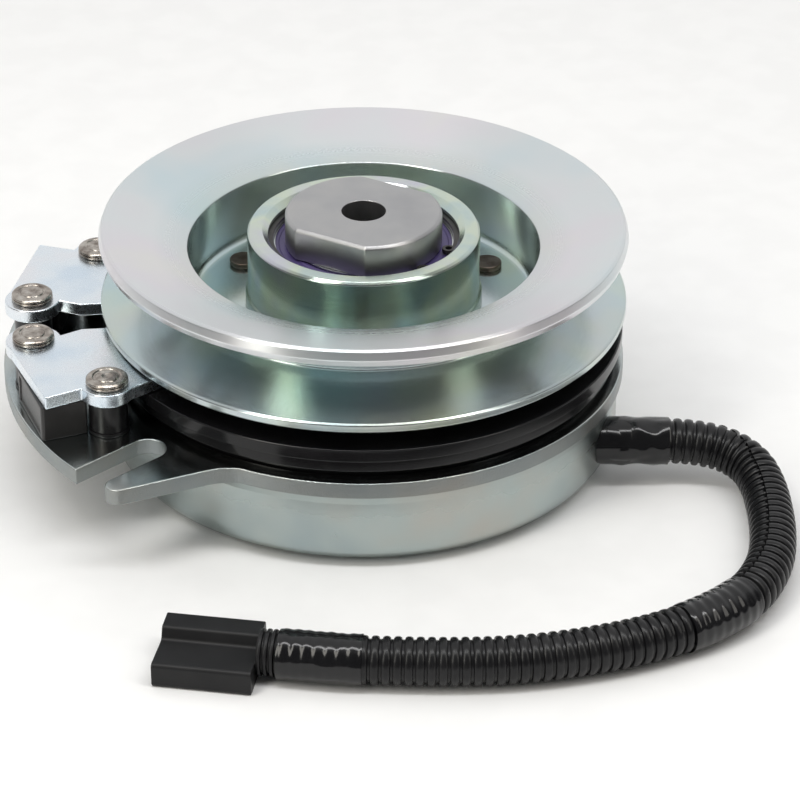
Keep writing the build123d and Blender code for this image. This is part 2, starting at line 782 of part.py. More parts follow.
# ================================================================ brake
def make_brake_plates():
    """Two steel pole plates over the armature edge, one each side of the arm."""
    for name, side in (("brake_plate_front", 1), ("brake_plate_rear", -1)):
        rivet_spots = [mirrored(disc_r + reach, angle, side) for reach, angle in (outer_rivet, inner_rivet)]
        with BuildPart() as brake_plate:
            with BuildSketch(Plane.XY.offset(brake_low)):
                with BuildLine():
                    arc = [mirrored(plate_inner_r, angle, side) for angle in plate_arc_deg]
                    ThreePointArc(*arc)
                    corners = [mirrored(disc_r + reach, angle, side) for reach, angle in plate_corners]
                    Polyline(arc[0], *corners, arc[-1])
                make_face()
                with Locations(rivet_spots[0]):
                    Circle(outer_ear_r)
                with Locations(rivet_spots[1]):
                    Circle(inner_ear_r)
                with Locations(*rivet_spots):
                    Circle(rivet_shank_r + hole_slip, mode=Mode.SUBTRACT)
            extrude(amount=brake_t)
        brake_plate.part.label = name
        export_step(brake_plate.part, "parts/" + name + ".step")


def make_brake_blocks():
    """Magnet blocks between the arm and the plates, along each plate's outer edge."""
    first, last = [beyond(reach, angle) for reach, angle in block_ends]
    length = hypot(last[0] - first[0], last[1] - first[1])
    for name, side in (("brake_block_front", 1), ("brake_block_rear", -1)):
        run = Vector(last[0] - first[0], side * (last[1] - first[1]), 0)
        corner = (first[0], side * first[1], cup_top)
        with BuildPart() as brake_block:
            with BuildSketch(Plane(origin=corner, x_dir=run, z_dir=(0, 0, 1))):
                across = Align.MIN if side == 1 else Align.MAX
                Rectangle(length, block_depth, align=(Align.MIN, across))
            extrude(amount=brake_low - cup_top)
            chamfer(brake_block.edges().filter_by(Axis.Z), block_edge)
        brake_block.part.label = name
        export_step(brake_block.part, "parts/" + name + ".step")


def brake_points():
    """The four rivet places, in plan."""
    spots = []
    for side in (1, -1):
        for reach, angle in (outer_rivet, inner_rivet):
            spots.append(beyond(reach, 180 + side * (angle - 180)))
    return spots


def make_brake_rivets():
    """Rivets, their spacer tubes and foot washers, four of each."""
    discs = (
        (rivet_head_r - rivet_foot_step, plate_low - rivet_foot_h, plate_low),
        (rivet_shank_r, plate_low, brake_top),
        (rivet_head_r, brake_top, brake_top + rivet_head_h),
    )
    with BuildPart() as brake_rivets:
        for radius, low, high in discs:
            with BuildSketch(Plane.XY.offset(low)):
                with Locations(*brake_points()):
                    Circle(radius)
            extrude(amount=high - low)
    brake_rivets.part.label = "brake_rivets"
    export_step(brake_rivets.part, "parts/brake_rivets.step")

    with BuildPart() as brake_spacers:
        with BuildSketch(Plane.XY.offset(cup_top + washer_t)):
            with Locations(*brake_points()):
                Circle(spacer_r)
                Circle(rivet_shank_r + hole_slip, mode=Mode.SUBTRACT)
        extrude(amount=brake_low - cup_top - washer_t)
    brake_spacers.part.label = "brake_spacers"
    export_step(brake_spacers.part, "parts/brake_spacers.step")

    with BuildPart() as brake_washers:
        with BuildSketch(Plane.XY.offset(cup_top)):
            with Locations(*brake_points()):
                Circle(washer_r)
                Circle(rivet_shank_r + hole_slip, mode=Mode.SUBTRACT)
        extrude(amount=washer_t)
    brake_washers.part.label = "brake_washers"
    export_step(brake_washers.part, "parts/brake_washers.step")


# ================================================================ lead
def corner_radii(points):
    """Arc radius at each corner of a route, from its shorter run and half its turn."""
    radii = []
    for before, here, after in zip(points, points[1:], points[2:]):
        first = Vector(*here) - Vector(*before)
        second = Vector(*after) - Vector(*here)
        turn = first.get_angle(second)
        radii.append(bend_share * min(first.length, second.length) / tan(radians(turn / 2)))
    return radii


def lead_path():
    """The lead's centre line: straight runs joined by tangent arcs."""
    with BuildLine() as path:
        FilletPolyline(*route, radius=corner_radii(route))
    return path.wire()


def tube(line, outer_r, inner_r=0):
    """A round tube, or a rod, along a line."""
    with BuildPart() as swept:
        with BuildSketch(Plane(origin=line @ 0, z_dir=line % 0)):
            Circle(outer_r)
            if inner_r > 0:
                Circle(inner_r, mode=Mode.SUBTRACT)
        sweep(path=line)
    return swept


def make_lead():
    """Split-loom conduit with the wires inside, its bush and three shrink sleeves."""
    path = lead_path()
    total = path.length
    with BuildPart() as lead_bush:
        with BuildSketch(lead_plane()):
            Circle(conduit_r + sleeve_wall)
        extrude(amount=-bush_len)
        Cylinder(cup_r, 3 * cup_top, mode=Mode.SUBTRACT)
        with BuildSketch(lead_plane()):
            Circle(bush_neck_r)
        extrude(amount=-bush_len)
    lead_bush.part.label = "lead_bush"
    export_step(lead_bush.part, "parts/lead_bush.step")

    lead_conduit = tube(path, conduit_r)
    lead_conduit.part.label = "lead_conduit"
    export_step(lead_conduit.part, "parts/lead_conduit.step")

    sleeves = {
        "exit_sleeve": (0, exit_sleeve_len),
        "middle_sleeve": (middle_sleeve_at, middle_sleeve_at + middle_sleeve_len),
        "end_sleeve": (total - end_sleeve_len, total),
    }
    for name, (low, high) in sleeves.items():
        stretch = path.trim(low / total, high / total)
        sleeve = tube(stretch, conduit_r + sleeve_wall, conduit_r)
        sleeve.part.label = name
        export_step(sleeve.part, "parts/" + name + ".step")

    print("lead radii", [round(value, 1) for value in corner_radii(route)])
    print("lead length", round(total, 1), "conduit volume / (section x length)",
          round(lead_conduit.part.volume / (pi * conduit_r**2 * total), 4))


def plug_plane(distance):
    """Plane across the plug, a distance beyond the end of the lead."""
    heading = (Vector(*route[-1]) - Vector(*route[-2])).normalized()
    base = Vector(*route[-1]) + heading * distance
    return Plane(origin=(base.X, base.Y, 0), x_dir=(-heading.Y, heading.X, 0), z_dir=heading)


def make_plug():
    """Two-lobed plug body with a ribbed neck, and the blades in its cavities."""
    half = plug_w / 2
    valley = half - rear_lobe_w - valley_step
    with BuildPart() as plug_housing:
        with BuildSketch(plug_plane(plug_neck_len)) as section:
            with BuildLine():
                Polyline(
                    (-half, 0),
                    (half, 0),
                    (half, front_lobe_h),
                    (-valley, valley_h),
                    (-half + rear_lobe_w, rear_lobe_h),
                    (-half, rear_lobe_h),
                    close=True,
                )
            make_face()
            fillet(section.vertices(), plug_round)
        extrude(amount=plug_len)
        with BuildSketch(plug_plane(0)):
            with Locations((0, rest_z)):
                Circle(plug_neck_r)
        extrude(amount=plug_neck_len)
        for step in plug_collar_at:
            with BuildSketch(plug_plane(step)):
                with Locations((0, rest_z)):
                    Circle(plug_collar_r)
            extrude(amount=plug_collar_w)
        with BuildSketch(plug_plane(plug_neck_len + plug_len)):
            with Locations(*cavity_spots):
                Rectangle(cavity_w, cavity_h)
        extrude(amount=-cavity_depth, mode=Mode.SUBTRACT)
    plug_housing.part.label = "plug_housing"
    export_step(plug_housing.part, "parts/plug_housing.step")

    with BuildPart() as plug_blades:
        with BuildSketch(plug_plane(plug_neck_len + plug_len - cavity_depth)):
            with Locations(*cavity_spots):
                Rectangle(blade_w, blade_t)
        extrude(amount=blade_len)
    plug_blades.part.label = "plug_blades"
    export_step(plug_blades.part, "parts/plug_blades.step")


make_field_cup()
make_torque_plate()
make_inner_pole()
make_coil()
make_field_bearing()
make_rotor()
make_drive_hub()
make_pulley()
make_bearing_housing()
make_retaining_ring()
make_pulley_bearing()
make_armature()
make_leaf_springs()
make_spring_rivets()
make_brake_plates()
make_brake_blocks()
make_brake_rivets()
make_lead()
make_plug()
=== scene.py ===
import logging
import math
from dataclasses import dataclass
from enum import Enum
from typing import Callable, Iterable, Sequence

import bmesh
import bpy
from mathutils import Matrix, Vector, noise


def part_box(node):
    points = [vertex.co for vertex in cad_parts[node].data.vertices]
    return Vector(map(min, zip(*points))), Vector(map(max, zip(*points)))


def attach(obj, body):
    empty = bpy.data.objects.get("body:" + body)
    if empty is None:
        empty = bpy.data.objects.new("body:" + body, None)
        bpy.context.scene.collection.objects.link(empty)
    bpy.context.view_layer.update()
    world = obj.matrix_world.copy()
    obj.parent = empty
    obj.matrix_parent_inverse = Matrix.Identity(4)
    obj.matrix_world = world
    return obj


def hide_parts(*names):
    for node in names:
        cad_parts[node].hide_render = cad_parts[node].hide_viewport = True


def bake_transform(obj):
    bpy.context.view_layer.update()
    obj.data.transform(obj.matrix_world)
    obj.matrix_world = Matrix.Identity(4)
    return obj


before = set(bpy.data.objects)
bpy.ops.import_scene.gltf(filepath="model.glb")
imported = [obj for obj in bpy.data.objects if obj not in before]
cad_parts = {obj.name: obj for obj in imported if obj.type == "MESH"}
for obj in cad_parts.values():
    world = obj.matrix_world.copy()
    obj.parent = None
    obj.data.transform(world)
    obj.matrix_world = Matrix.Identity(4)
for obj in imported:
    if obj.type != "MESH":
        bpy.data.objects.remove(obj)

"""Electromagnetic clutch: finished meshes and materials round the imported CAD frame.

Sizes are written in millimetres and each piece is scaled to metres as it is finished.
"""

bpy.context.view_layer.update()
MM = 0.001
TURN_STEPS = 256
ROUND_STEPS = 4
SHARP_ANGLE = math.radians(32.0)
FLAT_ANGLE = math.radians(18.0)
LOG = logging.getLogger("clutch")

Colour = tuple[float, float, float]
Corner = tuple[float, float, float]


class Body(Enum):
    """Moving bodies of the clutch, by their names in the frame."""

    FIELD = "field"
    ROTOR = "rotor"
    PULLEY = "pulley"
    ARMATURE = "armature"


# ------------------------------------------------------------------ finishes
class Graph:
    """Builds the node graph of one material."""

    def __init__(self, name: str) -> None:
        """Start an empty material.

        Args:
            name: the material's name.
        """
        self.material = bpy.data.materials.new(name)
        self.material.use_nodes = True
        self.tree = self.material.node_tree
        self.tree.nodes.clear()
        output = self.tree.nodes.new("ShaderNodeOutputMaterial")
        self.shader = self.tree.nodes.new("ShaderNodeBsdfPrincipled")
        self.tree.links.new(self.shader.outputs[0], output.inputs[0])

    def add(self, kind: str, inputs: dict, **settings: object) -> bpy.types.Node:
        """Add a node.

        Args:
            kind: the node type, without its ShaderNode prefix.
            inputs: socket name or number to a value or another node's output.
            settings: properties of the node.

        Returns:
            The new node.
        """
        node = self.tree.nodes.new("ShaderNode" + kind)
        for key, value in settings.items():
            setattr(node, key, value)
        self.feed(node, inputs)
        return node

    def feed(self, node: bpy.types.Node, inputs: dict) -> None:
        """Set or link sockets of a node.

        Args:
            node: the node.
            inputs: socket name or number to a value or another node's output.
        """
        for key, value in inputs.items():
            socket = node.inputs[key]
            if isinstance(value, bpy.types.NodeSocket):
                self.tree.links.new(value, socket)
            elif isinstance(value, tuple) and len(value) == 3 and socket.type == "RGBA":
                socket.default_value = (*value, 1.0)
            else:
                socket.default_value = value

    def place(self) -> bpy.types.NodeSocket:
        """Return the piece's own position, in metres."""
        return self.add("TexCoord", {}).outputs["Object"]

    def maths(self, operation: str, *values: object) -> bpy.types.NodeSocket:
        """Return the result of one Math node on the given values."""
        return self.add("Math", dict(enumerate(values)), operation=operation).outputs[0]

    def noise(self, place: bpy.types.NodeSocket, scale: float, detail: float = 2.0) -> bpy.types.NodeSocket:
        """Return noise between 0 and 1 at a place.

        Args:
            place: the position to read.
            scale: cells per metre.
            detail: octaves.

        Returns:
            The noise's value.
        """
        texture = self.add("TexNoise", {"Vector": place, "Scale": scale, "Detail": detail})
        return texture.outputs[0]

    def ramp(self, value: bpy.types.NodeSocket, stops: Sequence[tuple[float, Colour]]) -> bpy.types.NodeSocket:
        """Return colours read from a ramp.

        Args:
            value: where to read, from 0 to 1.
            stops: places and colours along the ramp.

        Returns:
            The colour.
        """
        node = self.add("ValToRGB", {0: value})
        while len(node.color_ramp.elements) < len(stops):
            node.color_ramp.elements.new(0.5)
        for element, (position, colour) in zip(node.color_ramp.elements, stops):
            element.position = position
            element.color = (*colour, 1.0)
        return node.outputs[0]

    def spread(self, value: bpy.types.NodeSocket, low: float, high: float) -> bpy.types.NodeSocket:
        """Return a 0 to 1 value spread between two numbers."""
        return self.add("MapRange", {"Value": value, "To Min": low, "To Max": high}).outputs[0]

    def bump(self, height: bpy.types.NodeSocket, depth_mm: float,
             under: bpy.types.NodeSocket | None = None) -> bpy.types.NodeSocket:
        """Return a normal with a relief.

        Args:
            height: relief from 0 to 1.
            depth_mm: its depth.
            under: a normal that it adds to.

        Returns:
            The normal.
        """
        inputs = {"Height": height, "Distance": depth_mm * MM, "Strength": 1.0}
        if under is not None:
            inputs["Normal"] = under
        return self.add("Bump", inputs).outputs[0]


@dataclass(frozen=True)
class Finish:
    """A finish: its base colours and how rough it is."""

    name: str
    tints: tuple[Colour, ...]
    roughness: tuple[float, float] = (0.3, 0.4)
    metallic: float = 1.0
    patch: float = 40.0

    def material(self) -> bpy.types.Material:
        """Return the finish's material, made once."""
        name = self.name + "_finish"
        known = bpy.data.materials.get(name)
        if known is not None:
            return known
        graph = Graph(name)
        graph.feed(graph.shader, {"Metallic": self.metallic})
        self.paint(graph)
        return graph.material

    def colour(self, graph: Graph) -> bpy.types.NodeSocket:
        """Return the finish's colour, which drifts between its tints in soft patches."""
        drift = graph.noise(graph.place(), self.patch, 3.0)
        last = len(self.tints) - 1
        stops = [(0.3 + 0.4 * i / max(last, 1), tint) for i, tint in enumerate(self.tints)]
        return graph.ramp(drift, stops)

    def paint(self, graph: Graph) -> None:
        """Build the nodes of the finish."""
        place = graph.place()
        rough = graph.spread(graph.noise(place, 900.0), *self.roughness)
        inputs = {"Base Color": self.colour(graph), "Roughness": rough}
        inputs["Normal"] = graph.bump(graph.noise(place, 2500.0), 0.004)
        graph.feed(graph.shader, inputs)


@dataclass(frozen=True)
class Turned(Finish):
    """Metal turned on a lathe about the shaft axis: fine rings and stretched highlights."""

    ring_mm: float = 0.35
    ring_depth: float = 0.003
    stretch: float = 0.75
    specular: float = 0.5
    deep: Colour | None = None
    deep_warm: Colour = (0.78, 0.845, 0.765)
    deep_low: float = 61.0
    deep_high: float = 67.0
    face_rough: float = 0.10

    def paint(self, graph: Graph) -> None:
        """Build the rings, the soft patches, the highlights that fan out and, where a deep tint is given, the teal
        tint and painted shade low down.
        """
        place = graph.place()
        parts = graph.add("SeparateXYZ", {0: place}).outputs
        flat = graph.add("CombineXYZ", {0: parts[0], 1: parts[1]}).outputs[0]
        radius = graph.add("VectorMath", {0: flat}, operation="LENGTH").outputs["Value"]
        along = graph.maths("ADD", radius, parts[2])
        rings = graph.add("TexNoise", {"W": along, "Scale": 1.0 / (self.ring_mm * MM), "Detail": 3.0},
                          noise_dimensions="1D").outputs[0]
        wide = graph.add("TexNoise", {"W": along, "Scale": 0.15 / (self.ring_mm * MM), "Detail": 1.0},
                         noise_dimensions="1D").outputs[0]
        specks = graph.noise(place, 1600.0, 4.0)
        mixed = graph.maths("MULTIPLY_ADD", rings, 0.6, graph.maths("MULTIPLY", specks, 0.4))
        rough = graph.spread(graph.maths("MULTIPLY_ADD", wide, 0.5, graph.maths("MULTIPLY", mixed, 0.5)),
                             *self.roughness)
        normal = graph.bump(specks, 0.0015, graph.bump(rings, self.ring_depth))
        tangent = graph.add("Tangent", {}, direction_type="RADIAL", axis="Z").outputs[0]
        colour = self.colour(graph)
        # Below deep_low the colour is multiplied by a teal tint that fades out by deep_high: partly the zinc film's
        # own colour, partly painted shade that darkens the recess and the groove flank.
        if self.deep is not None:
            raised = graph.add("MapRange", {"Value": parts[2], "From Min": self.deep_low * MM,
                                            "From Max": self.deep_high * MM}).outputs[0]
            low = graph.ramp(graph.noise(place, 42.0, 1.0), ((0.42, self.deep), (0.58, self.deep_warm)))
            film_tint_and_painted_shade = graph.add("Mix", {0: raised, 6: low, 7: (1.0, 1.0, 1.0)}, data_type="RGBA").outputs[2]
            colour = graph.add("VectorMath", {0: colour, 1: film_tint_and_painted_shade}, operation="MULTIPLY").outputs[0]
            rough = graph.maths("MULTIPLY_ADD", raised, self.face_rough, rough)
        graph.feed(graph.shader, {"Base Color": colour, "Roughness": rough, "Normal": normal,
                                  "Tangent": tangent, "Anisotropic": self.stretch, "Anisotropic Rotation": 0.25,
                                  "Specular IOR Level": self.specular})


@dataclass(frozen=True)
class Grained(Finish):
    """A finish with grain: cast or stamped metal, moulded plastic, rubber or paint."""

    grain_mm: float = 0.5
    grain_depth: float = 0.02
    fine_mm: float = 0.12
    fine_depth: float = 0.004
    coat: float = 0.0
    specular: float = 0.5

    def paint(self, graph: Graph) -> None:
        """Build two sizes of grain, with roughness that follows them."""
        place = graph.place()
        coarse = graph.noise(place, 1.0 / (self.grain_mm * MM), 3.0)
        fine = graph.noise(place, 1.0 / (self.fine_mm * MM), 2.0)
        rough = graph.spread(graph.maths("MULTIPLY_ADD", coarse, 0.5, graph.maths("MULTIPLY", fine, 0.5)),
                             *self.roughness)
        normal = graph.bump(fine, self.fine_depth, graph.bump(coarse, self.grain_depth))
        graph.feed(graph.shader, {"Base Color": self.colour(graph), "Roughness": rough, "Normal": normal,
                                  "Coat Weight": self.coat, "Coat Roughness": 0.12,
                                  "Specular IOR Level": self.specular})


@dataclass(frozen=True)
class Sanded(Finish):
    """Zinc that is smooth on one side of a band of levels and sandy on the other."""

    smooth_at: float = 16.0
    sandy_at: float = 24.0
    sand_depth: float = 0.05
    drawn: float = 0.12
    sand_shade: float = 1.0

    def paint(self, graph: Graph) -> None:
        """Build the draw marks, the sand and soft stains."""
        place = graph.place()
        parts = graph.add("SeparateXYZ", {0: place}).outputs
        stretched = graph.add("VectorMath", {0: place, 1: (1.0, 1.0, self.drawn)}, operation="MULTIPLY").outputs[0]
        marks = graph.noise(stretched, 700.0, 3.0)
        sand = graph.noise(place, 2000.0, 4.0)
        stains = graph.noise(place, 120.0, 4.0)
        band = graph.add("MapRange", {"Value": parts[2], "From Min": self.smooth_at * MM,
                                      "From Max": self.sandy_at * MM}).outputs[0]
        grit = graph.maths("MULTIPLY", sand, graph.maths("MULTIPLY_ADD", band, 0.92, 0.08))
        rough = graph.spread(graph.maths("MULTIPLY_ADD", stains, 0.5, graph.maths("MULTIPLY", band, 0.5)),
                             *self.roughness)
        normal = graph.bump(grit, self.sand_depth, graph.bump(marks, 0.004))
        shade = graph.spread(band, 1.0, self.sand_shade)
        colour = graph.add("VectorMath", {0: self.colour(graph), "Scale": shade}, operation="SCALE").outputs[0]
        graph.feed(graph.shader, {"Base Color": colour, "Normal": normal, "Roughness": rough})


# Teal tint for the pulley's low parts: partly the zinc film's colour, partly painted shade in the recess and the
# groove flank.
TEAL_AND_PAINTED_SHADE = (0.72, 0.82, 0.82)
TURNED_ZINC = Turned("turned_zinc", ((0.62, 0.71, 0.74), (0.70, 0.73, 0.74), (0.72, 0.70, 0.73), (0.74, 0.75, 0.68)),
                     (0.15, 0.25), patch=16.0, deep=TEAL_AND_PAINTED_SHADE)
HOUSING_ZINC = Turned("housing_zinc", ((0.46, 0.57, 0.59), (0.60, 0.67, 0.56), (0.57, 0.58, 0.64)), (0.15, 0.24),
                      patch=55.0, ring_mm=0.25)
CUP_ZINC = Sanded("cup_zinc", ((0.34, 0.40, 0.41), (0.40, 0.45, 0.44), (0.43, 0.43, 0.40)), (0.20, 0.40), patch=35.0)
ARM_ZINC = Sanded("arm_zinc", ((0.40, 0.45, 0.46), (0.47, 0.50, 0.49), (0.50, 0.48, 0.44)), (0.12, 0.46),
                  patch=40.0, smooth_at=29.28, sandy_at=29.0, sand_depth=0.16, drawn=1.0, sand_shade=0.62)
PLATE_ZINC = Grained("plate_zinc", ((0.66, 0.75, 0.84), (0.76, 0.82, 0.87), (0.80, 0.81, 0.84)), (0.20, 0.36),
                     patch=60.0, grain_mm=0.8, grain_depth=0.012, fine_mm=0.3, fine_depth=0.02)
BLACK_IRON = Turned("black_iron", ((0.006, 0.006, 0.007), (0.012, 0.012, 0.013)), (0.12, 0.24), metallic=0.2,
                    patch=60.0, ring_mm=0.3, ring_depth=0.003, stretch=0.4, specular=0.4)
BLACK_PAINT = Grained("black_paint", ((0.006, 0.006, 0.007), (0.014, 0.013, 0.014)), (0.22, 0.38), metallic=0.0,
                      grain_mm=1.2, grain_depth=0.02, fine_mm=0.3, fine_depth=0.006)
HUB_STEEL = Grained("hub_steel", ((0.38, 0.38, 0.39), (0.42, 0.42, 0.425), (0.46, 0.455, 0.45)), (0.30, 0.44),
                    patch=60.0, grain_mm=0.5, grain_depth=0.012, fine_mm=0.16, fine_depth=0.008)
RIVET_NICKEL = Grained("rivet_nickel", ((0.20, 0.17, 0.15), (0.36, 0.325, 0.29), (0.50, 0.47, 0.43)), (0.18, 0.30),
                       patch=420.0, grain_mm=0.7, grain_depth=0.03, fine_mm=0.2, fine_depth=0.008)
DARK_RIVET = Grained("dark_rivet", ((0.07, 0.05, 0.04), (0.16, 0.13, 0.11)), (0.28, 0.45), patch=350.0)
BEARING_STEEL = Turned("bearing_steel", ((0.42, 0.44, 0.46), (0.55, 0.56, 0.57)), (0.12, 0.22), ring_mm=0.2,
                       ring_depth=0.001)
SPRING_STEEL = Grained("spring_steel", ((0.16, 0.17, 0.19), (0.28, 0.28, 0.30)), (0.25, 0.40), patch=180.0,
                       grain_depth=0.006)
RING_BLACK = Grained("ring_black", ((0.020, 0.019, 0.020), (0.050, 0.046, 0.045)), (0.24, 0.36), metallic=0.7,
                     patch=200.0, grain_depth=0.006)
SEAL_RUBBER = Grained("seal_rubber", ((0.050, 0.036, 0.120), (0.085, 0.062, 0.190)), (0.34, 0.48), metallic=0.0,
                      grain_mm=0.9, grain_depth=0.02)
FERRITE = Grained("ferrite", ((0.014, 0.013, 0.013), (0.028, 0.026, 0.025)), (0.24, 0.40), metallic=0.0,
                  grain_mm=0.8, grain_depth=0.02, fine_mm=0.2, fine_depth=0.008)
CONDUIT_PLASTIC = Grained("conduit_plastic", ((0.006, 0.006, 0.007), (0.012, 0.012, 0.013)), (0.24, 0.36),
                          metallic=0.0, patch=90.0, grain_mm=1.1, grain_depth=0.012, fine_mm=0.25, fine_depth=0.004,
                          specular=0.3)
SHRINK_FILM = Grained("shrink_film", ((0.005, 0.005, 0.006), (0.010, 0.010, 0.011)), (0.10, 0.20), metallic=0.0,
                      patch=90.0, grain_mm=4.0, grain_depth=0.06, fine_mm=0.8, fine_depth=0.004, coat=0.25,
                      specular=0.3)
PLUG_PLASTIC = Grained("plug_plastic", ((0.010, 0.010, 0.011), (0.016, 0.016, 0.017)), (0.36, 0.48), metallic=0.0,
                       patch=70.0, grain_mm=0.5, grain_depth=0.008, fine_mm=0.14, fine_depth=0.004, specular=0.25)
NYLON = Grained("nylon", ((0.62, 0.58, 0.46), (0.72, 0.69, 0.58)), (0.40, 0.55), metallic=0.0)
COPPER_WIRE = Turned("copper_wire", ((0.62, 0.26, 0.12), (0.76, 0.36, 0.18)), (0.22, 0.36), ring_mm=0.8,
                     ring_depth=0.12)
EPOXY = Grained("epoxy", ((0.010, 0.010, 0.010), (0.02, 0.018, 0.016)), (0.12, 0.24), metallic=0.0, grain_mm=3.0)
BRASS = Grained("brass", ((0.66, 0.50, 0.22), (0.76, 0.62, 0.32)), (0.20, 0.32))

CAD_FINISHES = {
    "inner_pole": HUB_STEEL, "coil_bobbin": NYLON, "coil_winding": COPPER_WIRE, "potting_ring": EPOXY,
    "field_bearing_outer": BEARING_STEEL, "field_bearing_inner": BEARING_STEEL, "field_bearing_balls": BEARING_STEEL,
    "field_bearing_cage": BRASS, "bearing_inner_race": BEARING_STEEL, "bearing_outer_race": BEARING_STEEL,
    "bearing_balls": BEARING_STEEL, "bearing_cage": BRASS, "hub_spacer": HUB_STEEL, "sleeve_ring": SPRING_STEEL,
    "spring_pads": SPRING_STEEL, "armature_rivets": DARK_RIVET,
    "seal_bottom": SEAL_RUBBER, "plug_blades": BRASS,
}


# ------------------------------------------------------------------ mesh work
def box_mm(node: str) -> tuple[Vector, Vector]:
    """Return the lowest and highest corner of a CAD node, in millimetres."""
    low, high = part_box(node)
    return Vector(low) / MM, Vector(high) / MM


def round_corners(bm: bmesh.types.BMesh, corners: Iterable[tuple[bmesh.types.BMVert, float]],
                  segments: int = ROUND_STEPS) -> None:
    """Round corners of a wire outline.

    Args:
        bm: the mesh that holds the outline.
        corners: each corner's vertex and the radius of its rounding.
        segments: steps of each rounding.
    """
    for vert, radius in corners:
        if radius > 0:
            one, other = (edge.other_vert(vert).co - vert.co for edge in vert.link_edges)
            offset = radius * math.tan((math.pi - one.angle(other)) / 2)
            bmesh.ops.bevel(bm, geom=[vert], offset=offset, offset_type="OFFSET", segments=segments,
                            profile=0.5, affect="VERTICES", material=-1, clamp_overlap=True)


def spun(profile: Sequence[Corner], steps: int = TURN_STEPS, closed: bool = True) -> bmesh.types.BMesh:
    """Spin a profile about the shaft axis.

    Args:
        profile: radius, level and corner rounding of each point.
        steps: facets round the turn.
        closed: whether its last point joins its first; if not, both are on the axis.

    Returns:
        A closed mesh.
    """
    bm = bmesh.new()
    corners = [(bm.verts.new((radius, 0.0, level)), rounding) for radius, level, rounding in profile]
    following = corners[1:] + corners[:1] if closed else corners[1:]
    for (one, _), (other, _) in zip(corners, following):
        bm.edges.new((one, other))
    round_corners(bm, corners)
    bmesh.ops.spin(bm, geom=bm.verts[:] + bm.edges[:], cent=(0, 0, 0), axis=(0, 0, 1), angle=math.tau,
                   steps=steps, use_merge=True)
    bmesh.ops.remove_doubles(bm, verts=bm.verts[:], dist=1e-4)
    bmesh.ops.recalc_face_normals(bm, faces=bm.faces[:])
    return bm


def eased(node: str, edge: float, segments: int = 2, least: float = SHARP_ANGLE) -> bmesh.types.BMesh:
    """Copy a CAD node and ease its sharp edges.

    Args:
        node: the CAD node.
        edge: width of the eased edge.
        segments: steps across it.
        least: the smallest angle between two faces that counts as sharp.

    Returns:
        The copy, in millimetres.
    """
    bm = bmesh.new()
    bm.from_mesh(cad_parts[node].data)
    bmesh.ops.scale(bm, vec=(1 / MM,) * 3, verts=bm.verts[:])
    bmesh.ops.remove_doubles(bm, verts=bm.verts[:], dist=5e-4)
    bmesh.ops.dissolve_limit(bm, angle_limit=math.radians(0.2), verts=bm.verts[:], edges=bm.edges[:])
    sharp = [e for e in bm.edges if len(e.link_faces) == 2 and e.calc_face_angle(0.0) > least]
    bmesh.ops.bevel(bm, geom=sharp, offset=edge, offset_type="OFFSET", segments=segments, profile=0.5,
                    affect="EDGES", material=-1, clamp_overlap=False)
    return bm


def finish_piece(bm: bmesh.types.BMesh, name: str, body: Body | None, finish: Finish,
                 *nodes: str) -> bpy.types.Object:
    """Turn a mesh in millimetres into a finished piece.

    Args:
        bm: the mesh, which is used up.
        name: the piece's name.
        body: the body it rides on, or None for a piece that is left on no body.
        finish: its finish.
        nodes: the CAD nodes that it stands for.

    Returns:
        The piece.
    """
    bmesh.ops.scale(bm, vec=(MM,) * 3, verts=bm.verts[:])
    for face in bm.faces:
        face.smooth = True
    for edge in bm.edges:
        edge.smooth = len(edge.link_faces) == 2 and edge.calc_face_angle(0.0) < SHARP_ANGLE
    mesh = bpy.data.meshes.new(name)
    bm.to_mesh(mesh)
    bm.free()
    piece = bpy.data.objects.new(name, mesh)
    bpy.context.scene.collection.objects.link(piece)
    mesh.materials.append(finish.material())
    weighted = piece.modifiers.new("even_normals", "WEIGHTED_NORMAL")
    weighted.keep_sharp = True
    if body is not None:
        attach(piece, body.value)
    if nodes:
        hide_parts(*nodes)
    LOG.info("%s: %d faces", name, len(mesh.polygons))
    return piece


